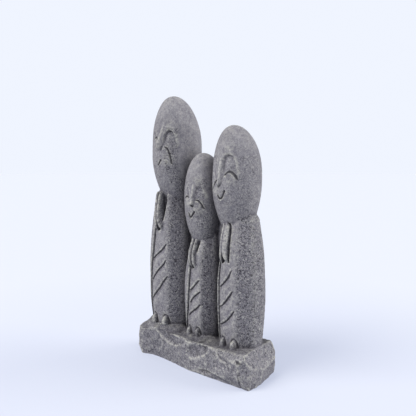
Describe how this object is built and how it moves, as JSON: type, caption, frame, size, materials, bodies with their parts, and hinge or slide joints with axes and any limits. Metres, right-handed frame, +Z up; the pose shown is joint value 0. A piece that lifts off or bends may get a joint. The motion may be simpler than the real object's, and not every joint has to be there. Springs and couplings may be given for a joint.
{
  "type": "garden statue",
  "caption": "Stone garden statue: bald, smiling jizo figures of unlike height in plain robes, standing side by side on a rough rock.",
  "frame": {"origin": "on the underside of the rock, below the middle of the statue's box", "axes": "+Z up, +X from the tall figure towards the other big one, -Y the way the faces look"},
  "size_m": [0.334, 0.1264, 0.5829],
  "materials": {
    "stone": "rough carved grey stone, pitted all over"
  },
  "bodies": {
    "root": {"three_jizo_on_rock": "stone"}
  },
  "joints": []
}
